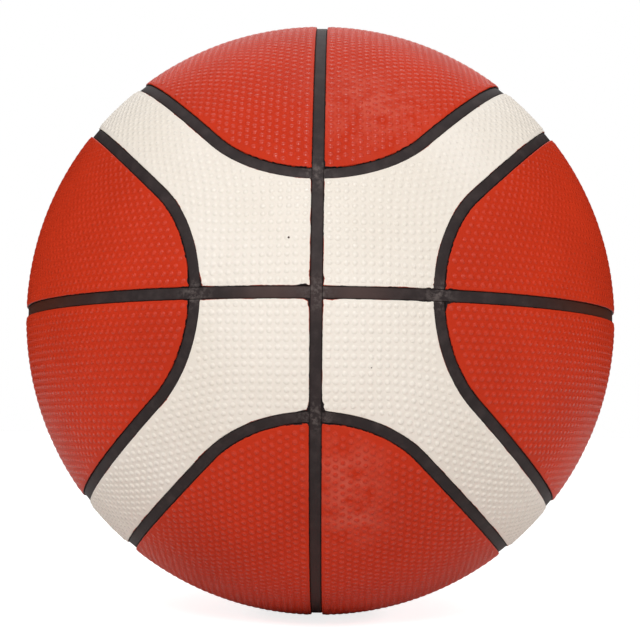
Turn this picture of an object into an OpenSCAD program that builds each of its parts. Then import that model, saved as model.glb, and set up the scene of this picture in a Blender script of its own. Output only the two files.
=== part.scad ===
// Basketball, size 7, built in layers the way a moulded rubber ball is: a bladder with its valve,
// a winding of thread, a rubber carcass, twelve cover panels and the black strips between them.
// The origin is the ball's centre and +Z is up. The two long seams cross at the front, -Y, and at
// the back. One lies in the plane X = 0 and the other in the plane Z = 0. The valve is at the bottom.

/* [Ball] */
// Diameter over the cover panels
ball_d = 242; // [230:0.5:246]

/* [Layers] */
// Thickness of a cover panel
panel_t = 1.5; // [1.3:0.05:2.5]
// Thickness of the rubber carcass under the panels
carcass_t = 0.6; // [0.4:0.05:2]
// Thickness of the layer of wound thread
winding_t = 0.6; // [0.4:0.05:2]
// Wall of the bladder
bladder_t = 0.6; // [0.4:0.05:2]
// Film of cement between two layers
cement_t = 0.12; // [0.1:0.01:0.3]

/* [Seams] */
// Width of the channel between two panels, along the surface
seam_w = 4.3; // [3:0.1:6.3]
// How far a seam strip lies below the panels
seam_recess = 0.9; // [0.5:0.05:1]
// Gap between a seam strip and what it lies beside
strip_gap = 0.12; // [0.08:0.01:0.3]

/* [Ovals] */
// Distance along a long seam from a crossing to an oval
crossing_to_oval = 42.2; // [38:0.1:46]
// Distance between the two ovals beside an arm
arm_w = 26.2; // [22:0.1:30]

/* [Valve] */
// Diameter of the housing's mouth, seen in the seam
mouth_d = 9; // [8:0.1:12]
// How far the mouth lies below the panels
mouth_recess = 0.5; // [0.3:0.05:0.8]
// Length of the housing
housing_l = 17; // [16:0.5:24]
// Diameter of the foot that is bonded to the bladder
foot_d = 30; // [20:0.5:40]
// Thickness of that foot
foot_t = 1.6; // [1:0.1:3]
// Diameter of the valve core's head
head_d = 6.4; // [5.8:0.1:7]
// Height of the valve core's head
head_h = 2; // [1.5:0.1:3]
// Diameter of the valve core's stem over its ribs
stem_d = 5; // [4.6:0.1:5.4]
// Length of the valve core
core_l = 15; // [12:0.5:16]
// Number of ribs on the stem
rib_n = 3; // [2:1:4]
// Height of a rib above the stem
rib_h = 0.4; // [0.2:0.05:0.6]
// Length of a rib along the stem
rib_l = 1.6; // [1:0.1:2]
// Slope cut on the valve core's edges and the housing's mouth
lead_in = 0.4; // [0.2:0.05:0.5]
// Diameter of the way through for the inflation needle
needle_way_d = 2.5; // [2.3:0.05:2.8]
// Gap between the valve core and its housing, on the radius
core_gap = 0.1; // [0.05:0.01:0.15]

/* [Quality] */
// Facets on a full circle where the model is shown as a mesh
$fn = 120; // [48:8:240]

/* [Hidden] */
red = [0.78, 0.26, 0.18];
cream = [0.93, 0.9, 0.85];
black = [0.22, 0.2, 0.21];
thread = [0.8, 0.72, 0.55];

// Radii of the layers, from the outside in
ball_r = ball_d / 2;
strip_r = ball_r - seam_recess;
panel_in_r = ball_r - panel_t;
carcass_r = panel_in_r - cement_t;
carcass_in_r = carcass_r - carcass_t;
winding_r = carcass_in_r - cement_t;
winding_in_r = winding_r - winding_t;
bladder_r = winding_in_r - cement_t;
bladder_in_r = bladder_r - bladder_t;
mouth_z = ball_r - mouth_recess;
// How far a cut runs past what it cuts
overrun = panel_t;
// Where the sides of an oval's loop run into its ends: the difference in section and the length
hair = 0.02;
run_in = 0.4;

// Angles are seen from the centre of the ball
function surface_angle(arc) = arc / ball_r * 180 / PI;
seam_half_a = surface_angle(seam_w) / 2;
strip_half_a = seam_half_a - surface_angle(strip_gap);
// Half of a channel as a plain distance, for the long seams that are cut by flat walls
seam_half = ball_r * sin(seam_half_a);
oval_tip_a = surface_angle(crossing_to_oval);
arm_half_a = surface_angle(arm_w) / 2;

// An oval has two round ends, joined by two sides that run beside the diagonal arms. An end is a
// circle that passes through the oval's tip and touches both sides.
tip_to_side_a = oval_tip_a - arm_half_a;
end_centre_a = atan2(sin(tip_to_side_a), cos(tip_to_side_a) - sqrt(1 / 2));
end_a = end_centre_a - oval_tip_a;
side_a = 90 - arm_half_a;
// How far along the arm the end touches the side, from the crossing
touch_a = atan2(sin(end_centre_a) * sqrt(1 / 2), cos(end_centre_a));
touch = [
    (cos(arm_half_a) * sin(touch_a) + sin(arm_half_a)) * sqrt(1 / 2),
    cos(arm_half_a) * cos(touch_a),
    (cos(arm_half_a) * sin(touch_a) - sin(arm_half_a)) * sqrt(1 / 2)
];
// How far the end turns about its own axis, from the tip to the side
end_turn = atan2(touch[2], sin(end_centre_a) * touch[1] - cos(end_centre_a) * touch[0]);

// Quarter turns that take the right oval to each of the four
angle_right = 0;
angle_bottom = 90;
angle_left = 180;
angle_top = 270;

// A point of a ring's section, at a radius and an angle from the ring's axis
function section_point(radius, angle) = [radius * sin(angle), radius * cos(angle)];

// Section of the channel between two panels. A section can be drawn in a little all round.
module channel_section(ring_a, drawn_in = 0) {
    half_a = seam_half_a - surface_angle(drawn_in);
    low = panel_in_r - overrun + drawn_in;
    high = ball_r + overrun - drawn_in;
    polygon([
        section_point(low, ring_a - half_a),
        section_point(high, ring_a - half_a),
        section_point(high, ring_a + half_a),
        section_point(low, ring_a + half_a)
    ]);
}

// Section of the strip that lies in the channel
module strip_section(ring_a, drawn_in = 0) {
    sides = [-1, 0, 1];
    half_a = strip_half_a - surface_angle(drawn_in);
    polygon(concat(
        [for (side = sides) section_point(strip_r - drawn_in, ring_a + side * half_a)],
        [for (side = sides) section_point(panel_in_r + drawn_in, ring_a - side * half_a)]
    ));
}

// Part of a ring about Z, an equal turn to each side of +X
module arc_about_z(turn) {
    rotate([0, 0, -turn])
        rotate_extrude(angle = 2 * turn)
            children();
}

// Turns the axis Z to the middle of one end of the right oval, with +X towards its tip
module at_oval_end(way) {
    rotate([way * 90, 0, 180 - way * end_centre_a])
        children();
}

// The closed loop of an oval seam, with the sections of its ends and of its sides as children. The
// sides are drawn in by a hair and run a little way into the ends, so that the loop is one piece.
module oval_loop() {
    for (way = [-1, 1])
        at_oval_end(way)
            arc_about_z(end_turn)
                children(0);
    for (up = [0, 1])
        rotate([180 * up, 45 - 90 * up, 0])
            arc_about_z(90 - touch_a + surface_angle(run_in))
                children(1);
}

module oval_channel() {
    oval_loop() {
        channel_section(end_a);
        channel_section(side_a, hair);
    }
}

module oval_strip() {
    oval_loop() {
        strip_section(end_a);
        strip_section(side_a, hair);
    }
}

// Everything inside the right oval, with its limit in the middle of the channel
module oval_inside() {
    low = panel_in_r * cos(end_a) - overrun;
    high = ball_r + overrun;
    for (way = [-1, 1])
        at_oval_end(way)
            translate([0, 0, low])
                cylinder(h = high - low, r1 = low * tan(end_a), r2 = high * tan(end_a));
    side_x = ball_r * sin(arm_half_a - seam_half_a / 2) * sqrt(2);
    side_y = ball_r * touch[1];
    translate([0, side_y, 0])
        rotate([90, 0, 0])
            linear_extrude(height = 2 * side_y)
                polygon([[side_x, 0], [side_x + ball_r, ball_r], [side_x + ball_r, -ball_r]]);
}

// The strip of the long seam in the plane Z = 0
module long_strip() {
    rotate_extrude()
        strip_section(90);
}

// All that lies above the channel of that seam
module above_long_seam() {
    translate([-ball_d, -ball_d, seam_half])
        cube([2 * ball_d, 2 * ball_d, ball_d]);
}

// A layer of the ball, with the hole for the valve at the bottom
module layer(outer_r, inner_r) {
    difference() {
        sphere(r = outer_r);
        sphere(r = inner_r);
        valve_hole();
    }
}

module valve_hole() {
    rotate([180, 0, 0])
        cylinder(h = ball_r + overrun, d = mouth_d + 2 * strip_gap);
}

// The whole cover before it is cut
module cover() {
    difference() {
        sphere(r = ball_r);
        sphere(r = panel_in_r);
    }
}

// Half of an oval: half = 0 is above its long seam before the quarter turns, and 1 below
module red_panel(angle, half) {
    color(red)
        difference() {
            rotate([0, angle, 0])
                rotate([180 * half, 0, 0])
                    intersection() {
                        difference() {
                            cover();
                            oval_channel();
                        }
                        oval_inside();
                        above_long_seam();
                    }
            if (angle == angle_bottom)
                valve_hole();
        }
}

module without_right_oval() {
    difference() {
        children();
        oval_channel();
        oval_inside();
    }
}

// A quarter of each crossing and the diagonal arm that joins them, before the quarter turns the
// one at the upper right
module cream_panel(angle) {
    color(cream)
        rotate([0, angle, 0])
            without_right_oval()
                rotate([0, -90, 0])
                    without_right_oval()
                        rotate([0, 90, 0])
                            intersection() {
                                cover();
                                above_long_seam();
                                rotate([0, 90, 0])
                                    above_long_seam();
                            }
}

// Strip round half of an oval, cut to lie beside the strip of the long seam
module oval_seam(angle, half) {
    color(black)
        rotate([0, angle, 0])
            rotate([180 * half, 0, 0])
                intersection() {
                    oval_strip();
                    above_long_seam();
                }
}

// Strip of the whole vertical seam, open where the valve's mouth shows
module vertical_seam() {
    color(black)
        difference() {
            rotate([0, 90, 0])
                long_strip();
            valve_hole();
        }
}

// Half of the horizontal strip, cut to lie beside the vertical one
module horizontal_seam(half) {
    color(black)
        rotate([0, 180 * half, 0])
            intersection() {
                long_strip();
                rotate([0, 90, 0])
                    above_long_seam();
            }
}

module bladder() {
    color(black)
        layer(bladder_r, bladder_in_r);
}

module winding() {
    color(thread)
        layer(winding_r, winding_in_r);
}

module carcass() {
    color(black)
        layer(carcass_r, carcass_in_r);
}

// Rubber mushroom: a neck through all layers, and a foot bonded inside the bladder. The valve points
// down, so both of its pieces are drawn upwards and turned over.
module valve_housing() {
    foot_r = bladder_in_r - cement_t;
    way_r = stem_d / 2 + core_gap;
    seat_r = head_d / 2 + core_gap;
    color(black)
        rotate([180, 0, 0])
            difference() {
                union() {
                    translate([0, 0, mouth_z - housing_l])
                        cylinder(h = housing_l, d = mouth_d);
                    intersection() {
                        difference() {
                            sphere(r = foot_r);
                            sphere(r = foot_r - foot_t);
                        }
                        cylinder(h = ball_r, d = foot_d);
                    }
                }
                translate([0, 0, mouth_z - housing_l - overrun])
                    cylinder(h = housing_l + 2 * overrun, r = way_r);
                translate([0, 0, mouth_z - head_h - core_gap])
                    cylinder(h = head_h + overrun, r = seat_r);
                translate([0, 0, mouth_z - lead_in])
                    cylinder(h = lead_in + core_gap, r1 = seat_r, r2 = seat_r + lead_in + core_gap);
            }
}

// Plug that closes on the needle: a head flush with the mouth and a ribbed stem, with the needle's
// way right through
module valve_core() {
    head_r = head_d / 2;
    rib_r = stem_d / 2;
    stem_r = rib_r - rib_h;
    stem_l = core_l - head_h;
    rib_step = stem_l / rib_n;
    color(black)
        rotate([180, 0, 0])
            translate([0, 0, mouth_z - core_l])
                difference() {
                    union() {
                        cylinder(h = core_l - head_h / 2, r = stem_r);
                        for (i = [0 : rib_n - 1])
                            translate([0, 0, i * rib_step])
                                valve_rib(stem_r, rib_r);
                        translate([0, 0, stem_l])
                            cylinder(h = head_h - lead_in, r = head_r);
                        translate([0, 0, core_l - lead_in])
                            cylinder(h = lead_in, r1 = head_r, r2 = head_r - lead_in);
                    }
                    translate([0, 0, -overrun])
                        cylinder(h = core_l + 2 * overrun, d = needle_way_d);
                }
}

// One rib of the stem, sloped towards the inside of the ball
module valve_rib(stem_r, rib_r) {
    cylinder(h = rib_h, r1 = stem_r, r2 = rib_r);
    translate([0, 0, rib_h])
        cylinder(h = rib_l - rib_h, r = rib_r);
}

bladder();
valve_housing();
valve_core();
winding();
carcass();
cream_panel(angle_right);  // panel_cream_upper_right
cream_panel(angle_bottom);  // panel_cream_lower_right
cream_panel(angle_left);  // panel_cream_lower_left
cream_panel(angle_top);  // panel_cream_upper_left
red_panel(angle_right, 0);  // panel_red_right_upper
red_panel(angle_right, 1);  // panel_red_right_lower
red_panel(angle_left, 1);  // panel_red_left_upper
red_panel(angle_left, 0);  // panel_red_left_lower
red_panel(angle_top, 1);  // panel_red_top_right
red_panel(angle_top, 0);  // panel_red_top_left
red_panel(angle_bottom, 0);  // panel_red_bottom_right
red_panel(angle_bottom, 1);  // panel_red_bottom_left
vertical_seam();  // seam_vertical
horizontal_seam(0);  // seam_horizontal_right
horizontal_seam(1);  // seam_horizontal_left
oval_seam(angle_right, 0);  // seam_right_oval_upper
oval_seam(angle_right, 1);  // seam_right_oval_lower
oval_seam(angle_left, 1);  // seam_left_oval_upper
oval_seam(angle_left, 0);  // seam_left_oval_lower
oval_seam(angle_top, 1);  // seam_top_oval_right
oval_seam(angle_top, 0);  // seam_top_oval_left
oval_seam(angle_bottom, 0);  // seam_bottom_oval_right
oval_seam(angle_bottom, 1);  // seam_bottom_oval_left
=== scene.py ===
"""Size 7 basketball, dressed from the inside out: the bladder and its valve, the winding and the carcass,
then the pebbled cover panels and the black strips between them, and last the floor, light and camera."""

import math
import random

import bmesh
import bpy
from mathutils import Matrix, Vector


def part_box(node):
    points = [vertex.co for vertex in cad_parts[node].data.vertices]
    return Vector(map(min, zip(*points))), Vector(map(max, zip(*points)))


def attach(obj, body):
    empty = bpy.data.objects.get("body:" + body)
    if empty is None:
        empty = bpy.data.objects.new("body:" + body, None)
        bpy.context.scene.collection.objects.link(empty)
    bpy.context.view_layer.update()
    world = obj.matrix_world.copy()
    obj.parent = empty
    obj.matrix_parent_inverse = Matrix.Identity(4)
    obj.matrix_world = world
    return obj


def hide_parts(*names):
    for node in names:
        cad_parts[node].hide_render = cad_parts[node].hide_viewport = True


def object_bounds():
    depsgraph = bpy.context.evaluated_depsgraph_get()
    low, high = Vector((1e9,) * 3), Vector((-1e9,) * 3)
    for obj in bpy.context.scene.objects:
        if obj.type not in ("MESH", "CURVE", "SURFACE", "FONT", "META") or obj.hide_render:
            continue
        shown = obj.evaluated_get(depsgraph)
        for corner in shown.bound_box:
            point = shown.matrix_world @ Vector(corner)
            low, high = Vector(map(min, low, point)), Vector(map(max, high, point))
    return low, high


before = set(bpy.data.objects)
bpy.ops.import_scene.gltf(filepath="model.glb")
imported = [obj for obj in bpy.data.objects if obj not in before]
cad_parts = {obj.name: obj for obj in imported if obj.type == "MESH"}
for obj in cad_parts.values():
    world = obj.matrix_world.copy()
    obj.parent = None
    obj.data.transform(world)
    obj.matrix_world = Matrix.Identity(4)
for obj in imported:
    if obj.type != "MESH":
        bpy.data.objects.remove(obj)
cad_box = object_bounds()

# Bladder: a balloon of black butyl rubber that holds the air. It is moulded and cured in one piece, so
# its skin is smooth and a little waxy, with a grey bloom of talc that keeps it from sticking.
mm = 0.001


def linear(hex_colour):
    """An sRGB hex colour as the linear RGBA that a shader takes."""
    channels = [int(hex_colour[i:i + 2], 16) / 255 for i in (0, 2, 4)]
    return [c / 12.92 if c <= 0.04045 else ((c + 0.055) / 1.055) ** 2.4 for c in channels] + [1]


def new_material(name, **sockets):
    """A material with its Principled shader, whose sockets are set by name, and object coordinates."""
    material = bpy.data.materials.new(name)
    material.use_nodes = True
    shader = material.node_tree.nodes["Principled BSDF"]
    for socket, value in sockets.items():
        shader.inputs[socket.replace("_", " ")].default_value = value
    where = material.node_tree.nodes.new("ShaderNodeTexCoord").outputs["Object"]
    return material, shader, where


def add_node(material, kind, inputs, **settings):
    """Adds a node with its settings, and fills its inputs with values or with links to other nodes."""
    node = material.node_tree.nodes.new(kind)
    for name, value in settings.items():
        setattr(node, name, value)
    for socket, value in inputs.items():
        if isinstance(value, bpy.types.NodeSocket):
            material.node_tree.links.new(value, node.inputs[socket])
        else:
            node.inputs[socket].default_value = value
    return node


def per(size):
    """Scale of a texture whose features are this many millimetres across."""
    return 1 / (size * mm)


def dress(node, material):
    """Gives a CAD node its material."""
    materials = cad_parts[node].data.materials
    materials.clear()
    materials.append(material)


def butyl_rubber():
    # Smooth black rubber, half matt, with soft grey clouds of talc some 30 mm across.
    material, shader, where = new_material("butyl_rubber", Roughness=0.48)
    cloud = add_node(material, "ShaderNodeTexNoise", {"Vector": where, "Scale": per(30), "Detail": 4.0})
    bloom = add_node(material, "ShaderNodeMapRange",
                     {"Value": cloud.outputs[0], "From Min": 0.45, "From Max": 0.75, "To Max": 0.35})
    tint = add_node(material, "ShaderNodeMix",
                    {0: bloom.outputs[0], 6: linear("2b2a2d"), 7: linear("77757a")}, data_type="RGBA")
    grain = add_node(material, "ShaderNodeTexNoise", {"Vector": where, "Scale": per(0.8), "Detail": 2.0})
    bump = add_node(material, "ShaderNodeBump",
                    {"Height": grain.outputs[0], "Strength": 0.4, "Distance": 0.03 * mm})
    material.node_tree.links.new(tint.outputs[2], shader.inputs["Base Color"])
    material.node_tree.links.new(bump.outputs[0], shader.inputs["Normal"])
    return material


dress("bladder", butyl_rubber())


# Valve: a moulded rubber housing bonded in the bladder's wall, and a plug pressed into it that closes on
# the inflation needle. Both are black rubber, and their polished moulds leave them glossier than the seams.
def valve_rubber():
    # Dense black rubber straight from a polished mould: satin, with a fine orange-peel skin.
    material, shader, where = new_material("valve_rubber", Base_Color=linear("252226"), Roughness=0.36)
    skin = add_node(material, "ShaderNodeTexNoise", {"Vector": where, "Scale": per(0.6), "Detail": 2.0})
    bump = add_node(material, "ShaderNodeBump",
                    {"Height": skin.outputs[0], "Strength": 0.5, "Distance": 0.03 * mm})
    material.node_tree.links.new(bump.outputs[0], shader.inputs["Normal"])
    return material


valve_finish = valve_rubber()
dress("valve_housing", valve_finish)
dress("valve_core", valve_finish)


# Winding: nylon thread, wound round the bladder in every direction by machine and dipped in latex. It
# keeps the ball round when it is pumped up. It is drawn as crossing bands of thread.
def nylon_thread():
    # Pale twisted thread under a thin skin of latex: silky, with darker gaps between turns. The real turns
    # lie 0.4 mm apart. The waves go through 20 radians in 8 mm, which draws them 2.5 mm apart, to show.
    material, shader, where = new_material("nylon_thread", Roughness=0.45, Sheen_Weight=0.3)
    layers = []
    for turn in ((0.3, 0.2, 0.1), (1.2, 0.9, 0.4), (2.1, 1.6, 1.1)):
        turned = add_node(material, "ShaderNodeMapping", {"Vector": where, "Rotation": turn})
        strands = add_node(material, "ShaderNodeTexWave",
                           {"Vector": turned.outputs[0], "Scale": per(8), "Distortion": 1.5,
                            "Detail": 1.0, "Detail Scale": 0.6}, wave_type="BANDS")
        layers.append(strands.outputs[1])
    patches = add_node(material, "ShaderNodeTexVoronoi", {"Vector": where, "Scale": per(24)})
    split = add_node(material, "ShaderNodeSeparateColor", {"Color": patches.outputs["Color"]})
    first = add_node(material, "ShaderNodeMath", {0: split.outputs[0], 1: 0.4}, operation="GREATER_THAN")
    second = add_node(material, "ShaderNodeMath", {0: split.outputs[1], 1: 0.5}, operation="GREATER_THAN")
    pair = add_node(material, "ShaderNodeMix", {0: first.outputs[0], 2: layers[0], 3: layers[1]})
    height = add_node(material, "ShaderNodeMix", {0: second.outputs[0], 2: pair.outputs[0], 3: layers[2]})
    tint = add_node(material, "ShaderNodeMix",
                    {0: height.outputs[0], 6: linear("8a7a58"), 7: linear("dccfa8")}, data_type="RGBA")
    bump = add_node(material, "ShaderNodeBump",
                    {"Height": height.outputs[0], "Strength": 0.8, "Distance": 0.2 * mm})
    material.node_tree.links.new(tint.outputs[2], shader.inputs["Base Color"])
    material.node_tree.links.new(bump.outputs[0], shader.inputs["Normal"])
    return material


dress("winding", nylon_thread())


# Carcass: a skin of black rubber, vulcanised over the winding. The panels are cemented to it, so its
# outside is buffed rough and still carries brush marks of cement.
def carcass_rubber():
    # Buffed rubber: dull, with fine scratches and pale traces of cement.
    material, shader, where = new_material("carcass_rubber", Roughness=0.82)
    scratch = add_node(material, "ShaderNodeTexNoise",
                       {"Vector": where, "Scale": per(1.5), "Detail": 6.0, "Distortion": 1.5})
    traces = add_node(material, "ShaderNodeMapRange",
                      {"Value": scratch.outputs[0], "From Min": 0.5, "From Max": 0.8, "To Max": 0.6})
    tint = add_node(material, "ShaderNodeMix",
                    {0: traces.outputs[0], 6: linear("2a2727"), 7: linear("6f675c")}, data_type="RGBA")
    bump = add_node(material, "ShaderNodeBump",
                    {"Height": scratch.outputs[0], "Strength": 0.8, "Distance": 0.1 * mm})
    material.node_tree.links.new(tint.outputs[2], shader.inputs["Base Color"])
    material.node_tree.links.new(bump.outputs[0], shader.inputs["Normal"])
    return material


dress("carcass", carcass_rubber())


# Cream panels: each is a quarter of the front cross, a diagonal arm and a quarter of the back cross,
# moulded in one piece of soft rubber with round pebbles. Near a crossing the pebbles stand in rows
# beside both seams, and along the arm in rows beside its edges. The panel's lip is rounded.
from_middle = [v.co.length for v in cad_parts["panel_cream_upper_right"].data.vertices]
ball_r = max(from_middle) / mm
panel_in_r = min(from_middle) / mm
panel_middle_r = (ball_r + panel_in_r) / 2
seam_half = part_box("panel_cream_upper_right")[0].x / mm
crossing_to_oval = 42.2
arm_w = 26.2
lip_r = 0.4
lip_steps = (30, 60, 90)
pebble_r = 1.12
pebble_h = 0.36
pebble_stray = 0.1
pebble_margin = 1.55
tall_range = (0.85, 1.08)
broad_range = (0.88, 1.06)
ground_depth_in_h = 1.1
cells_per_pebble = 5
dome_cells = 2
flat_dome = 0.01
foot_crease = 16
lip_crease = 55
crossing_reach = 9
snap = 0.01

oval_tip_a = crossing_to_oval / ball_r
arm_half_a = arm_w / 2 / ball_r
tip_to_side_a = oval_tip_a - arm_half_a
end_centre_a = math.atan2(math.sin(tip_to_side_a), math.cos(tip_to_side_a) - math.sqrt(1 / 2))
end_a = end_centre_a - oval_tip_a
end_centre = Vector((math.sin(end_centre_a), -math.cos(end_centre_a), 0))
back_centre = Vector((end_centre.x, -end_centre.y, 0))
side_pole = Vector((1, 0, -1)).normalized()
end_to_side = end_centre.cross(side_pole)


def in_end(point):
    """Whether a point, folded to the front upper quarter of the right oval, lies beside its round end."""
    return point.dot(end_to_side) < 0


def oval_gap(point):
    """How far a point lies inside the middle line of the right oval's channel, in mm."""
    way = Vector((point.x, -abs(point.y), abs(point.z))).normalized()
    if in_end(way):
        return (end_a - way.angle(end_centre)) * ball_r
    return (math.asin(way.dot(side_pole)) - arm_half_a) * ball_r


def oval_zone(point):
    """The part of the right oval that a point lies beside: its front end, its back end or its side."""
    if in_end(Vector((point.x, -abs(point.y), abs(point.z)))):
        return "back" if point.y > 0 else "front"
    return "side"


def swapped(point):
    """Swaps X and Z, which turns the top oval into the right one and back."""
    return Vector((point.z, point.y, point.x))


def every_face(face):
    return True


def outside_face(face):
    """Whether a face belongs to a panel's outside, and not to its walls or its inside."""
    return all(v.co.length > panel_middle_r for v in face.verts)


def cut(bm, faces, normal, distance):
    """Cuts faces in two along a plane."""
    edges = dict.fromkeys(e for f in faces for e in f.edges)
    verts = dict.fromkeys(v for e in edges for v in e.verts)
    bmesh.ops.bisect_plane(bm, geom=[*faces, *edges, *verts], dist=snap, plane_co=normal * distance,
                           plane_no=normal)


def cut_oval(bm, shift, turn=Vector, within=every_face):
    """Cuts faces along the line of an oval, moved inwards by shift: its two ends, and then its side."""
    end_distance = ball_r * math.cos(end_a - shift / ball_r)
    side_distance = ball_r * math.sin(arm_half_a + shift / ball_r)
    for zone, normal, distance in (("front", end_centre, end_distance), ("back", back_centre, end_distance),
                                   ("side", side_pole, side_distance)):
        faces = [f for f in bm.faces if oval_zone(turn(f.calc_center_median())) == zone and within(f)]
        cut(bm, faces, turn(normal), distance)


def split_zones(bm, turn=Vector):
    """Splits the faces beside an oval's line where its ends meet its side."""
    for back in (1, -1):
        beside = [f for f in bm.faces if abs(oval_gap(turn(f.calc_center_median()))) < 3 * seam_half]
        cut(bm, beside, turn(Vector((end_to_side.x, back * end_to_side.y, end_to_side.z))), 0)


def thick_panel(bm, cuts, edge_gap):
    """Cuts a net to the panel's edge, thickens it inwards, and gives its outside cells and a lip."""
    cuts(bm)
    beyond = [f for f in bm.faces if edge_gap(f.calc_center_median().normalized()) < 0]
    bmesh.ops.delete(bm, geom=beyond, context="FACES")
    bmesh.ops.remove_doubles(bm, verts=bm.verts, dist=10 * snap)
    bmesh.ops.triangulate(bm, faces=[f for f in bm.faces if len(f.verts) > 4])
    inside = bm.faces[:]
    extruded = bmesh.ops.extrude_face_region(bm, geom=inside, use_keep_orig=True)["geom"]
    outside = dict.fromkeys(e for f in extruded if isinstance(f, bmesh.types.BMFace) for e in f.edges)
    for vert in dict.fromkeys(v for f in inside for v in f.verts):
        vert.co = vert.co.normalized() * panel_in_r
    bmesh.ops.subdivide_edges(bm, edges=list(outside), cuts=cells_per_pebble - 1, use_grid_fill=True)
    for vert in bm.verts:
        if vert.co.length > panel_middle_r:
            vert.co = vert.co.normalized() * ball_r
    for step in lip_steps:
        cuts(bm, lip_r * (1 - math.cos(math.radians(step))), outside_face)


def raise_pebbles(bm, centre_of, edge_gap, relief_at):
    """Rounds the panel's lip and domes its outside round the centre of each pebble."""
    for layer in ("edge_gap", "dome"):
        bm.verts.layers.float.new(layer)
    column, row = (bm.verts.layers.float[layer] for layer in ("column", "row"))
    gap, dome = (bm.verts.layers.float[layer] for layer in ("edge_gap", "dome"))
    random.seed(7)
    pebbles = {}
    for place in sorted({(round(v[column]), round(v[row])) for v in bm.verts}):
        centre = centre_of(*place)
        stray = Vector([random.uniform(-pebble_stray, pebble_stray) for axis in range(3)])
        tall = random.uniform(*tall_range)
        broad = random.uniform(*broad_range)
        if edge_gap(centre) > pebble_margin:
            pebbles[place] = (centre * ball_r, stray, tall, broad)
    for vert in bm.verts:
        if vert.co.length < panel_middle_r:
            continue
        way = vert.co.normalized()
        point = way * ball_r
        vert[gap] = max(edge_gap(way), 0)
        drop = 0
        if vert[gap] < lip_r:
            drop = lip_r - math.sqrt(lip_r ** 2 - (lip_r - vert[gap]) ** 2)
        place = (round(vert[column]), round(vert[row]))
        if place in pebbles and vert[gap] > lip_r:
            centre, stray, tall, broad = pebbles[place]
            aside = point - centre
            away = aside.length
            ring = cells_per_pebble * max(abs(vert[column] - place[0]), abs(vert[row] - place[1]))
            slope = min(ring / dome_cells, 1) * math.pi / 2
            radius = pebble_r * broad * math.sin(slope)
            if ring > dome_cells:
                outwards = (ring - dome_cells) / (cells_per_pebble / 2 - dome_cells)
                radius += (away - radius) * min(outwards, 1)
            if away > snap:
                point = centre + stray + aside * (radius / away)
            vert[dome] = tall * math.cos(slope)
        depth = pebble_h * relief_at(way) * (ground_depth_in_h - vert[dome])
        vert.co = point.normalized() * (ball_r - depth - drop)


def in_metres(name, bm):
    """Takes a mesh out of its bmesh, smooth shaded and in metres."""
    bmesh.ops.scale(bm, vec=(mm, mm, mm), verts=bm.verts)
    mesh = bpy.data.meshes.new(name)
    bm.to_mesh(mesh)
    bm.free()
    mesh.shade_smooth()
    return mesh


def even_relief(way):
    """Full height everywhere."""
    return 1


def pebbled_panel(name, bm, cuts, centre_of, edge_gap, relief_at=even_relief):
    """Turns a net whose points are the pebbles' centres into a closed panel with sharp-footed pebbles."""
    thick_panel(bm, cuts, edge_gap)
    raise_pebbles(bm, centre_of, edge_gap, relief_at)
    for layer in ("column", "row"):
        bm.verts.layers.float.remove(bm.verts.layers.float[layer])
    bmesh.ops.remove_doubles(bm, verts=bm.verts, dist=snap)
    bmesh.ops.delete(bm, geom=[e for e in bm.edges if not e.link_faces], context="EDGES")
    bmesh.ops.recalc_face_normals(bm, faces=bm.faces)
    gap, dome = (bm.verts.layers.float[layer] for layer in ("edge_gap", "dome"))
    for edge in bm.edges:
        foot = all(v[dome] < flat_dome and v[gap] > lip_r for v in edge.verts)
        edge.smooth = edge.calc_face_angle(0) < math.radians(foot_crease if foot else lip_crease)
    return in_metres(name, bm)


crossing_pitch = 2.85
columns_aside = 20
rows_to_middle = 74
rows_square = 15
rows_turning = 18


def smooth_step(value):
    """Goes from 0 to 1 without a corner, as its value does."""
    value = min(max(value, 0), 1)
    return value * value * (3 - 2 * value)


row_step = crossing_pitch / math.sqrt(2)
quarter = ball_r * math.pi / 2
blend = [smooth_step((r + 0.5 - rows_square) / rows_turning) for r in range(rows_to_middle)]
arm_step = (quarter - row_step * (rows_to_middle - sum(blend))) / sum(blend)
steps = [row_step + (arm_step - row_step) * b for b in blend]
steps += steps[::-1]
row_at = [0]
for step in steps:
    row_at.append(row_at[-1] + step)
arm_way = Vector((1, 0, 1)).normalized()


def cream_pebble(column, row):
    """Where a pebble stands: column and row count from the vertical and the horizontal seam."""
    along = column + row + 1
    if along >= len(row_at):
        # Past the far crossing no pebble stands. That crossing lies outside the panel, so it gets none.
        return Vector((0, 1, 0))
    two_steps = steps[max(along - 1, 0)] + steps[min(along, len(steps) - 1)]
    arm_a = row_at[along] / ball_r
    aside_a = (row - column) * crossing_pitch ** 2 / two_steps / ball_r
    on_arm = Vector((0, -math.cos(arm_a), 0)) + arm_way * math.sin(arm_a)
    return on_arm * math.cos(aside_a) - side_pole * math.sin(aside_a)


def cream_edge_gap(way):
    """Distance from a point to the edge of the cream panel at the upper right."""
    seams = min(math.asin(way.x), math.asin(way.z)) * ball_r - seam_half
    return min(seams, -oval_gap(way) - seam_half, -oval_gap(swapped(way)) - seam_half)


def cream_cuts(bm, depth=0, within=every_face):
    """Cuts along the edge of the same panel, or a depth further in."""
    for seam in (Vector((1, 0, 0)), Vector((0, 0, 1))):
        cut(bm, [f for f in bm.faces if within(f)], seam, seam_half + depth)
    for turn in (Vector, swapped):
        if not depth:
            split_zones(bm, turn)
        cut_oval(bm, -seam_half - depth, turn, within)


def number_points(bm):
    """Notes each point's column and row, which are its X and Y so far, before it is laid on the ball."""
    column = bm.verts.layers.float.new("column")
    row = bm.verts.layers.float.new("row")
    for vert in bm.verts:
        vert[column] = vert.co.x
        vert[row] = vert.co.y


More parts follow.
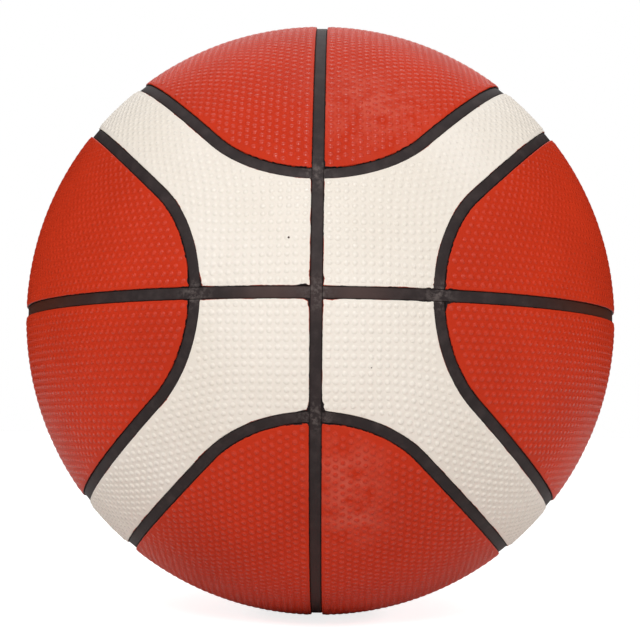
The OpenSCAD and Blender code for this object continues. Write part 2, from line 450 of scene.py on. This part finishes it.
def cream_net():
    """A square net of rows beside the two seams, cut down to the arm's width and laid on the ball."""
    bm = bmesh.new()
    rows = 2 * rows_to_middle - 1
    bmesh.ops.create_grid(bm, x_segments=rows, y_segments=rows, size=rows / 2)
    bmesh.ops.translate(bm, vec=(rows / 2, rows / 2, 0), verts=bm.verts)
    beyond = [v for v in bm.verts if abs(v.co.x - v.co.y) > columns_aside or v.co.x + v.co.y > rows]
    bmesh.ops.delete(bm, geom=beyond, context="VERTS")
    number_points(bm)
    for vert in bm.verts:
        vert.co = cream_pebble(round(vert.co.x), round(vert.co.y)) * ball_r
    return bm


tip_way = Vector((math.sin(oval_tip_a), -math.cos(oval_tip_a), 0))
crossing_ways = [Vector(w) for w in ((0, 1, 0), (tip_way.x, -tip_way.y, 0), (0, -tip_way.y, tip_way.x))]


def near(material, where, point, reach):
    """A soft mask: 1 at a point in millimetres, and 0 from a distance on."""
    away = add_node(material, "ShaderNodeVectorMath", {0: where, 1: [c * mm for c in point]},
                    operation="DISTANCE").outputs["Value"]
    return add_node(material, "ShaderNodeMapRange",
                    {"Value": away, "From Max": reach * mm, "To Min": 1.0, "To Max": 0.0},
                    interpolation_type="SMOOTHSTEP").outputs[0]


def near_crossings(material, where, radius):
    """A soft mask round every crossing of the seams, front and back, on a sphere of this radius."""
    folded = add_node(material, "ShaderNodeVectorMath", {0: where}, operation="ABSOLUTE").outputs[0]
    mask = 0.0
    for way in crossing_ways:
        spot = near(material, folded, way * radius, crossing_reach)
        mask = add_node(material, "ShaderNodeMath", {0: spot, 1: mask}, operation="MAXIMUM").outputs[0]
    return mask


def panel_rubber(name, body, shade, dust, sheen_spots=(), bleed=None, specks=()):
    """Moulded rubber of a cover panel, with the black of the seam lapping over its lip."""
    # Satin rubber with a fine moulded grain. The valleys between pebbles get a little painted shade, and
    # in some spots a pale painted sheen, and are duller than the rubbed tops. The seam's black ends in a
    # ragged line on the lip, with larger lumps at the crossings, and a rim of red may show beside it.
    material, shader, where = new_material(name)
    link = material.node_tree.links.new
    gap = add_node(material, "ShaderNodeAttribute", {}, attribute_name="edge_gap").outputs["Fac"]
    dome = add_node(material, "ShaderNodeAttribute", {}, attribute_name="dome").outputs["Fac"]
    cloud = add_node(material, "ShaderNodeTexNoise", {"Vector": where, "Scale": per(45), "Detail": 3.0})
    patch = add_node(material, "ShaderNodeMapRange",
                     {"Value": cloud.outputs[0], "From Min": 0.35, "From Max": 0.65, "To Max": 0.4})
    tint = add_node(material, "ShaderNodeMix",
                    {0: patch.outputs[0], 6: linear(body), 7: linear(shade)}, data_type="RGBA")
    valley = add_node(material, "ShaderNodeMapRange",
                      {"Value": dome, "From Max": 0.4, "To Min": 1.0, "To Max": 0.0}).outputs[0]
    # Painted shade: the valleys between pebbles are darkened by 12% towards the shade colour.
    painted_valley_shade = add_node(material, "ShaderNodeMath", {0: valley, 1: 0.12}, operation="MULTIPLY").outputs[0]
    under = add_node(material, "ShaderNodeMix",
                     {0: painted_valley_shade, 6: tint.outputs[2], 7: linear(shade)}, data_type="RGBA").outputs[2]
    # Painted sheen: in the listed spots the valleys are washed with the pale dust colour, which stands in
    # for light reflected off the valley floors.
    for point, spread in sheen_spots:
        sheen_patches = add_node(material, "ShaderNodeTexNoise", {"Vector": where, "Scale": per(6), "Detail": 3.0})
        amount = add_node(material, "ShaderNodeMapRange",
                          {"Value": sheen_patches.outputs[0], "From Min": 0.35, "From Max": 0.6, "To Max": 0.32})
        spot = add_node(material, "ShaderNodeMath",
                        {0: near(material, where, point, spread), 1: amount.outputs[0]},
                        operation="MULTIPLY").outputs[0]
        painted_valley_sheen = add_node(material, "ShaderNodeMath", {0: spot, 1: valley}, operation="MULTIPLY").outputs[0]
        under = add_node(material, "ShaderNodeMix",
                         {0: painted_valley_sheen, 6: under, 7: linear(dust)}, data_type="RGBA").outputs[2]
    ragged = add_node(material, "ShaderNodeTexNoise",
                      {"Vector": where, "Scale": per(1.6), "Detail": 3.0, "Roughness": 0.6})
    lap = add_node(material, "ShaderNodeMapRange",
                   {"Value": ragged.outputs[0], "From Min": 0.5, "From Max": 0.75, "To Min": 0.01,
                    "To Max": 0.22})
    lumps = add_node(material, "ShaderNodeTexNoise", {"Vector": where, "Scale": per(4), "Detail": 2.0})
    blob = add_node(material, "ShaderNodeMapRange",
                    {"Value": lumps.outputs[0], "From Min": 0.44, "From Max": 0.66, "To Max": 1.2})
    corner = add_node(material, "ShaderNodeMath",
                      {0: blob.outputs[0], 1: near_crossings(material, where, ball_r)},
                      operation="MULTIPLY").outputs[0]
    paint_w = add_node(material, "ShaderNodeMath", {0: lap.outputs[0], 1: corner},
                       operation="ADD").outputs[0]
    if bleed:
        patchy = add_node(material, "ShaderNodeTexNoise", {"Vector": where, "Scale": per(9), "Detail": 1.0})
        rim = add_node(material, "ShaderNodeMapRange",
                       {"Value": patchy.outputs[0], "From Min": 0.5, "From Max": 0.64, "To Max": 0.2})
        bleed_w = add_node(material, "ShaderNodeMath", {0: paint_w, 1: rim.outputs[0]}, operation="ADD")
        bled = add_node(material, "ShaderNodeMath", {0: gap, 1: bleed_w.outputs[0]}, operation="LESS_THAN")
        under = add_node(material, "ShaderNodeMix",
                         {0: bled.outputs[0], 6: under, 7: linear(bleed)}, data_type="RGBA").outputs[2]
    for point, size in specks:
        speck = add_node(material, "ShaderNodeMath", {0: near(material, where, point, size), 1: 0.4},
                         operation="GREATER_THAN").outputs[0]
        under = add_node(material, "ShaderNodeMix",
                         {0: speck, 6: under, 7: linear("4a3c38")}, data_type="RGBA").outputs[2]
    painted = add_node(material, "ShaderNodeMath", {0: gap, 1: paint_w}, operation="LESS_THAN")
    colour = add_node(material, "ShaderNodeMix",
                      {0: painted.outputs[0], 6: under, 7: linear("231d1e")}, data_type="RGBA")
    rough = add_node(material, "ShaderNodeMapRange", {"Value": dome, "To Min": 0.42, "To Max": 0.2})
    gloss = add_node(material, "ShaderNodeMapRange", {"Value": dome, "To Min": 0.06, "To Max": 0.34})
    grain = add_node(material, "ShaderNodeTexNoise", {"Vector": where, "Scale": per(0.45), "Detail": 3.0})
    bump = add_node(material, "ShaderNodeBump",
                    {"Height": grain.outputs[0], "Strength": 0.35, "Distance": 0.04 * mm})
    link(colour.outputs[2], shader.inputs["Base Color"])
    link(rough.outputs[0], shader.inputs["Roughness"])
    link(gloss.outputs[0], shader.inputs["Specular IOR Level"])
    link(bump.outputs[0], shader.inputs["Normal"])
    return material


def new_piece(name, mesh, material):
    """An object with its material, linked to the scene."""
    mesh.materials.append(material)
    piece = bpy.data.objects.new(name, mesh)
    bpy.context.scene.collection.objects.link(piece)
    return piece


def set_in_place(name, mesh, material, node, turn):
    """Puts a copy of a mesh on the ball, turned as the node whose place it takes."""
    copy = mesh.copy()
    copy.transform(turn)
    piece = new_piece(name, copy, material)
    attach(piece, "ball")
    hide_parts(node)


def quarter_turns(count, half=0):
    """Quarter turns about Y, after a half turn about X for the second half of an oval."""
    return Matrix.Rotation(math.radians(90 * count), 4, "Y") @ Matrix.Rotation(math.pi * half, 4, "X")


cream_rubber = panel_rubber("cream_rubber", "f0e8de", "e2d8ca", "ffffff", bleed="a8442e",
                            specks=(((-9.4, -119.2, 18.3), 0.7), ((18.5, -117, -24.7), 0.5)))
cream_mesh = pebbled_panel("cream_panel", cream_net(), cream_cuts, cream_pebble, cream_edge_gap)
for count, corner in enumerate(("upper_right", "lower_right", "lower_left", "upper_left")):
    set_in_place(f"pebbled_cream_{corner}", cream_mesh, cream_rubber,
                 f"panel_cream_{corner}", quarter_turns(count))


# Red panels: eight halves of the four ovals, moulded in red-orange rubber like the cream ones. Their
# pebbles stand in rows beside the long seam, staggered from row to row. At the bottom, two of them
# leave room for the valve.
red_pitch = 3.12
red_row = 2.56
red_row_growth = 0.002
first_row_inset = 2.15
first_row = seam_half + first_row_inset
columns_each_way = 65
red_rows = 33
rows_below_first = 2
flatter_by = 0.5
flatter_from = 0.75
flatter_over = 0.35
mouth_d = 9
strip_gap = 0.12
valve_hole_r = mouth_d / 2 + strip_gap
valve_way = Vector((1, 0, 0))


def red_pebble(column, row):
    """Where a pebble stands: columns count along the long seam from the oval's middle, rows from it."""
    up_a = (first_row + red_row * row * (1 + red_row_growth * row)) / ball_r
    along_a = (column + row / 2) * red_pitch / ball_r
    return Vector((math.cos(up_a) * math.cos(along_a), math.cos(up_a) * math.sin(along_a), math.sin(up_a)))


def red_relief(way):
    """The pebbles get flatter from the front and the back towards the middle of the oval."""
    return 1 - flatter_by * smooth_step((flatter_from - abs(way.y)) / flatter_over)


def red_edge_gap(way):
    """Distance from a point to the edge of the red panel at the right, above the long seam."""
    return min(math.asin(way.z) * ball_r, oval_gap(way)) - seam_half


def red_cuts(bm, depth=0, within=every_face):
    """Cuts along the edge of the same panel, or a depth further in."""
    cut(bm, [f for f in bm.faces if within(f)], Vector((0, 0, 1)), seam_half + depth)
    if not depth:
        split_zones(bm)
    cut_oval(bm, seam_half + depth, within=within)


def notched_edge_gap(way):
    """The same for a panel beside the valve, which lies in the middle of its long seam."""
    return min(red_edge_gap(way), way.angle(valve_way) * ball_r - valve_hole_r)


def notched_cuts(bm, depth=0, within=every_face):
    red_cuts(bm, depth, within)
    notch_distance = ball_r * math.cos((valve_hole_r + depth) / ball_r)
    cut(bm, [f for f in bm.faces if within(f)], valve_way, notch_distance)


def red_net():
    """A staggered net of rows beside the long seam, laid on the ball."""
    bm = bmesh.new()
    bmesh.ops.create_grid(bm, x_segments=2 * columns_each_way, y_segments=red_rows, size=1)
    bmesh.ops.scale(bm, vec=(columns_each_way, red_rows / 2, 1), verts=bm.verts)
    bmesh.ops.translate(bm, vec=(0, red_rows / 2 - rows_below_first, 0), verts=bm.verts)
    number_points(bm)
    for vert in bm.verts:
        vert.co = red_pebble(round(vert.co.x), round(vert.co.y)) * ball_r
    beyond = [v for v in bm.verts if oval_gap(v.co) < -2 * red_pitch or v.co.x < 0]
    bmesh.ops.delete(bm, geom=beyond, context="VERTS")
    return bm


oval_halves = {
    ("right", "upper"): quarter_turns(0),
    ("right", "lower"): quarter_turns(0, 1),
    ("left", "upper"): quarter_turns(2, 1),
    ("left", "lower"): quarter_turns(2),
    ("top", "right"): quarter_turns(3, 1),
    ("top", "left"): quarter_turns(3),
    ("bottom", "right"): quarter_turns(1),
    ("bottom", "left"): quarter_turns(1, 1),
}
# The pale colour and the three spots give the painted sheen in the red valleys.
red_rubber = panel_rubber("red_rubber", "ca371c", "ae2c16", "e27e6c",
                          (((18, -97, 69), 33), ((11, -104, -59), 20), ((14, -93, -76), 22)))
red_mesh = pebbled_panel("red_panel", red_net(), red_cuts, red_pebble, red_edge_gap, red_relief)
notched_mesh = pebbled_panel("notched_red_panel", red_net(), notched_cuts, red_pebble, notched_edge_gap,
                             red_relief)
for (oval_side, half), turn in oval_halves.items():
    set_in_place(f"pebbled_red_{oval_side}_{half}", notched_mesh if oval_side == "bottom" else red_mesh,
                 red_rubber, f"panel_red_{oval_side}_{half}", turn)


# Seam strips: soft black rubber laid in the channels between the panels and pressed flat. The
# upright one runs all the way round and stops at the valve, and the others butt against it and each
# other. The crossings are scuffed grey where strips were trimmed and rolled down.
seam_recess = 0.9
seam_half_a = seam_half / ball_r
strip_half_a = (seam_half - strip_gap) / ball_r
strip_top = ball_r - seam_recess
strip_middle_r = (strip_top + panel_in_r) / 2
strip_roll = 0.35
strip_step = 1.6
brim_angle = 60
strip_crease = 40
smear_aside = 14
smear_reach = 20
side_way = Vector((0.88, 0.47, 0))
lower_front_way = Vector((0, -0.5, -0.87))
red_tint_reach = 65


def seam_rubber():
    # Flat black rubber, satin, with brownish dusty patches and grey scuffs at the crossings. The stretches
    # at the sides get a painted red-brown cast of light from the red panels; the lower front is red-brown
    # too.
    material, shader, where = new_material("seam_rubber", Roughness=0.55, Specular_IOR_Level=0.17)
    dust = add_node(material, "ShaderNodeTexNoise",
                    {"Vector": where, "Scale": per(5), "Detail": 5.0, "Roughness": 0.65})
    amount = add_node(material, "ShaderNodeMapRange",
                      {"Value": dust.outputs[0], "From Min": 0.45, "From Max": 0.75, "To Max": 0.5})
    tint = add_node(material, "ShaderNodeMix",
                    {0: amount.outputs[0], 6: linear("2b2323"), 7: linear("4a3f3e")}, data_type="RGBA")
    scuffed = near_crossings(material, where, strip_top)
    folded = add_node(material, "ShaderNodeVectorMath", {0: where}, operation="ABSOLUTE").outputs[0]
    smeared = near(material, folded, (smear_aside, strip_top, 0), smear_reach)
    brown = add_node(material, "ShaderNodeMath", {0: smeared, 1: 0.6}, operation="MULTIPLY").outputs[0]
    warm = add_node(material, "ShaderNodeMix",
                    {0: brown, 6: tint.outputs[2], 7: linear("54403c")}, data_type="RGBA").outputs[2]
    # Painted reflection: the sides take the red-brown of light thrown from the red panels; the lower front
    # gets a like tint.
    for space, way, red_tint in ((folded, side_way, "442014"), (where, lower_front_way, "382522")):
        red_tinted = near(material, space, way * strip_top, red_tint_reach)
        warm = add_node(material, "ShaderNodeMix", {0: red_tinted, 6: warm, 7: linear(red_tint)},
                        data_type="RGBA").outputs[2]
    rubbed = add_node(material, "ShaderNodeTexNoise",
                      {"Vector": where, "Scale": per(2), "Detail": 4.0, "Roughness": 0.7})
    marks = add_node(material, "ShaderNodeMapRange",
                     {"Value": rubbed.outputs[0], "From Min": 0.46, "From Max": 0.62, "To Max": 0.7})
    scuff = add_node(material, "ShaderNodeMath", {0: marks.outputs[0], 1: scuffed}, operation="MULTIPLY")
    colour = add_node(material, "ShaderNodeMix",
                      {0: scuff.outputs[0], 6: warm, 7: linear("6a605d")}, data_type="RGBA")
    grain = add_node(material, "ShaderNodeTexNoise", {"Vector": where, "Scale": per(0.5), "Detail": 3.0})
    bump = add_node(material, "ShaderNodeBump",
                    {"Height": grain.outputs[0], "Strength": 0.5, "Distance": 0.05 * mm})
    material.node_tree.links.new(colour.outputs[2], shader.inputs["Base Color"])
    material.node_tree.links.new(bump.outputs[0], shader.inputs["Normal"])
    return material


def strip(name, middle, across, arcs, shape_end):
    """A strip whose section stands at the middle of a seam and is spun about one axis after another."""
    bm = bmesh.new()
    section = []
    for side, radius in ((-1, panel_in_r), (-1, strip_top), (1, strip_top), (1, panel_in_r)):
        way = middle * math.cos(strip_half_a) + across * side * math.sin(strip_half_a)
        section.append(bm.verts.new(way * radius))
    spun = section + [bm.edges.new((section[i - 1], section[i])) for i in range(len(section))]
    end = section
    for axis, angle in arcs:
        arc = abs(angle) * axis.cross(end[0].co).length
        spun = bmesh.ops.spin(bm, geom=spun, cent=(0, 0, 0), axis=axis, angle=angle,
                              steps=max(round(arc / strip_step), 1))["geom_last"]
        end = [part for part in spun if isinstance(part, bmesh.types.BMVert)]
    for vert in section + end:
        shape_end(vert.co)
    bmesh.ops.recalc_face_normals(bm, faces=bm.faces)
    brims = [e for e in bm.edges if len(e.link_faces) == 2
             and e.calc_face_angle() > math.radians(brim_angle)
             and min(v.co.length for v in e.verts) > strip_middle_r]
    bmesh.ops.bevel(bm, geom=brims, offset=strip_roll, offset_type="OFFSET", segments=4, profile=0.5,
                    affect="EDGES", material=-1)
    bmesh.ops.holes_fill(bm, edges=bm.edges)
    bmesh.ops.recalc_face_normals(bm, faces=bm.faces)
    mesh = in_metres(name, bm)
    mesh.set_sharp_from_angle(angle=math.radians(strip_crease))
    return mesh


def round_the_valve(point):
    """Shapes an end to the hole that the valve stands in."""
    point.y = math.copysign(math.sqrt(valve_hole_r ** 2 - point.x ** 2), point.y)


def to_the_upright(point):
    """Ends a strip at the channel of the upright one."""
    point.x = seam_half


def to_the_long_seam(point):
    """Ends a strip at the channel of the long seam that halves its oval."""
    point.z = seam_half


seam_finish = seam_rubber()
x_way, y_way, z_way = Matrix.Identity(3)
valve_a = valve_hole_r / ball_r
valve_edge = Matrix.Rotation(valve_a, 3, x_way) @ -z_way
upright = strip("upright_strip", valve_edge, x_way, [(x_way, math.tau - 2 * valve_a)], round_the_valve)
set_in_place("strip_vertical", upright, seam_finish, "seam_vertical", quarter_turns(0))

level_start = Matrix.Rotation(seam_half_a, 3, z_way) @ -y_way
level = strip("level_strip", level_start, z_way, [(z_way, math.pi - 2 * seam_half_a)], to_the_upright)
for half, count in (("right", 0), ("left", 2)):
    set_in_place(f"strip_horizontal_{half}", level, seam_finish, f"seam_horizontal_{half}",
                 quarter_turns(count))

pole_aside = (side_pole - end_centre * side_pole.dot(end_centre)).normalized()
touch = end_centre * math.cos(end_a) - pole_aside * math.sin(end_a)
back_touch = Vector((touch.x, -touch.y, touch.z))
end_turn = end_centre.cross(tip_way).angle(end_centre.cross(touch))
side_turn = side_pole.cross(touch).angle(side_pole.cross(back_touch))
start_turn = math.asin(math.sin(seam_half_a) / math.sin(end_a))
oval_start = Matrix.Rotation(-start_turn, 3, end_centre) @ tip_way
oval_across = oval_start.cross(oval_start.cross(end_centre)).normalized()
oval_arcs = [(end_centre, start_turn - end_turn), (side_pole, -side_turn),
             (back_centre, start_turn - end_turn)]
oval = strip("oval_strip", oval_start, oval_across, oval_arcs, to_the_long_seam)
for (oval_side, half), turn in oval_halves.items():
    set_in_place(f"strip_{oval_side}_oval_{half}", oval, seam_finish,
                 f"seam_{oval_side}_oval_{half}", turn)


# Floor: a wide sheet of white paper that the ball rests on. The camera sees it as white, and it keeps
# the ball's shadow.
floor_w = 16000


def paper():
    # Matt white paper. Where it is seen, it is lifted to the white of the background. From below it is
    # clear, so that the valve can be looked at.
    material, shader = new_material("white_paper", Base_Color=linear("f2f1ef"), Roughness=0.9,
                                    Emission_Color=linear("ffffff"))[:2]
    seen = add_node(material, "ShaderNodeLightPath", {}).outputs["Is Camera Ray"]
    lift = add_node(material, "ShaderNodeMath", {0: seen, 1: 0.8}, operation="MULTIPLY")
    side = add_node(material, "ShaderNodeNewGeometry", {}).outputs["Backfacing"]
    solid = add_node(material, "ShaderNodeMath", {0: 1.0, 1: side}, operation="SUBTRACT")
    material.node_tree.links.new(lift.outputs[0], shader.inputs["Emission Strength"])
    material.node_tree.links.new(solid.outputs[0], shader.inputs["Alpha"])
    return material


bm = bmesh.new()
bmesh.ops.create_grid(bm, x_segments=1, y_segments=1, size=floor_w / 2)
bmesh.ops.translate(bm, vec=(0, 0, cad_box[0].z / mm), verts=bm.verts)
new_piece("paper_floor", in_metres("paper_floor", bm), paper())


# Black cards: two sheets of card stand out of the picture, left and right of the ball and behind it.
# They keep the white room from glaring on the ball's rim, and the camera doesn't see them.
def card():
    # Matt black card, nearly without gloss.
    material, shader, where = new_material("black_card", Base_Color=linear("141414"), Roughness=0.95,
                                           Specular_IOR_Level=0.1)
    fibre = add_node(material, "ShaderNodeTexNoise", {"Vector": where, "Scale": per(1), "Detail": 2.0})
    bump = add_node(material, "ShaderNodeBump", {"Height": fibre.outputs[0], "Strength": 0.2,
                                                 "Distance": 0.1 * mm})
    material.node_tree.links.new(bump.outputs[0], shader.inputs["Normal"])
    return material


card_aside = 950
card_front = -250
card_back = 3000
card_height = 1400
card_finish = card()
for side in (-1, 1):
    bm = bmesh.new()
    bmesh.ops.create_grid(bm, x_segments=1, y_segments=1, size=0.5)
    bmesh.ops.scale(bm, vec=(card_height, card_back - card_front, 1), verts=bm.verts)
    bmesh.ops.rotate(bm, cent=(0, 0, 0), matrix=Matrix.Rotation(math.pi / 2, 3, "Y"), verts=bm.verts)
    middle = (side * card_aside, (card_back + card_front) / 2, card_height / 2 - ball_r)
    bmesh.ops.translate(bm, vec=middle, verts=bm.verts)
    card_sheet = new_piece("black_card", in_metres("black_card", bm), card_finish)
    card_sheet.visible_camera = False


# Light: a soft box above the camera, a small one above the ball, and one at each front corner for the
# glints on the pebbles. Two more at the sides, which don't show in the gloss, fill the shade at the rim.
# An even white room stands round it all, and the camera sees it as the background.
def soft_box(name, azimuth, elevation, distance, width, watts, glints=True):
    """A square lamp that faces the ball, and that its gloss may or may not show."""
    lamp = bpy.data.lights.new(name, "AREA")
    lamp.energy = watts
    lamp.size = width * mm
    box = bpy.data.objects.new(name, lamp)
    box.visible_glossy = glints
    bpy.context.scene.collection.objects.link(box)
    round_the_ball = Matrix.Rotation(math.radians(azimuth), 4, "Z")
    raised = Matrix.Rotation(math.radians(-elevation), 4, "X")
    facing = Matrix.Translation((0, -distance * mm, 0)) @ Matrix.Rotation(math.pi / 2, 4, "X")
    box.matrix_world = round_the_ball @ raised @ facing


soft_box("key_light", azimuth=-4, elevation=30, distance=1600, width=400, watts=10.0)
soft_box("top_light", azimuth=8, elevation=95, distance=1000, width=200, watts=0.65)
soft_box("right_glint", azimuth=38, elevation=33, distance=1200, width=130, watts=0.5)
soft_box("left_glint", azimuth=-40, elevation=33, distance=1200, width=300, watts=0.5)
soft_box("right_fill", azimuth=98, elevation=15, distance=900, width=150, watts=2.0, glints=False)
soft_box("left_fill", azimuth=-98, elevation=15, distance=900, width=150, watts=1.35, glints=False)


def seen_directly(material):
    """1 for what the camera sees, in a reflection and through glass too, and 0 for the light given off."""
    rays = add_node(material, "ShaderNodeLightPath", {}).outputs
    mirror = add_node(material, "ShaderNodeMath",
                      {0: rays["Is Glossy Ray"], 1: rays["Is Transmission Ray"]}, operation="MAXIMUM")
    return add_node(material, "ShaderNodeMath",
                    {0: rays["Is Camera Ray"], 1: mirror.outputs[0]}, operation="MAXIMUM").outputs[0]


world = bpy.data.worlds.new("white_room")
world.use_nodes = True
bpy.context.scene.world = world
room = world.node_tree.nodes["Background"]
room.inputs["Color"].default_value = linear("ffffff")
seen_white = seen_directly(world)
dimmed = add_node(world, "ShaderNodeMapRange", {"Value": seen_white, "To Min": 0.5, "To Max": 1.0})
world.node_tree.links.new(dimmed.outputs[0], room.inputs["Strength"])

# Camera: it stands a little above and left of the front crossing, near enough for the ball to show less
# than a half, and the ball fills most of the picture.
camera_distance = 550.5
camera_tilt = (4.5165, -0.5351, 0.6747)
picture_px = 640
ball_centre_px = (320.37, 320.82)
ball_radius_px = 294.3
focal_px = ball_radius_px * math.sqrt((camera_distance / ball_r) ** 2 - 1)

camera_data = bpy.data.cameras.new("camera")
camera_data.sensor_width = 36
camera_data.lens = camera_data.sensor_width * focal_px / picture_px
camera_data.shift_x = (picture_px / 2 - ball_centre_px[0]) / picture_px
camera_data.shift_y = (ball_centre_px[1] - picture_px / 2) / picture_px
camera = bpy.data.objects.new("camera", camera_data)
bpy.context.scene.collection.objects.link(camera)
tilt = Matrix.Identity(4)
for angle, axis in zip(camera_tilt, "XYZ"):
    tilt = tilt @ Matrix.Rotation(math.radians(angle), 4, axis)
stand = Matrix.Translation((0, -camera_distance * mm, 0))
camera.matrix_world = tilt @ stand @ Matrix.Rotation(math.pi / 2, 4, "X")
bpy.context.scene.camera = camera
bpy.context.scene.view_settings.view_transform = "Standard"
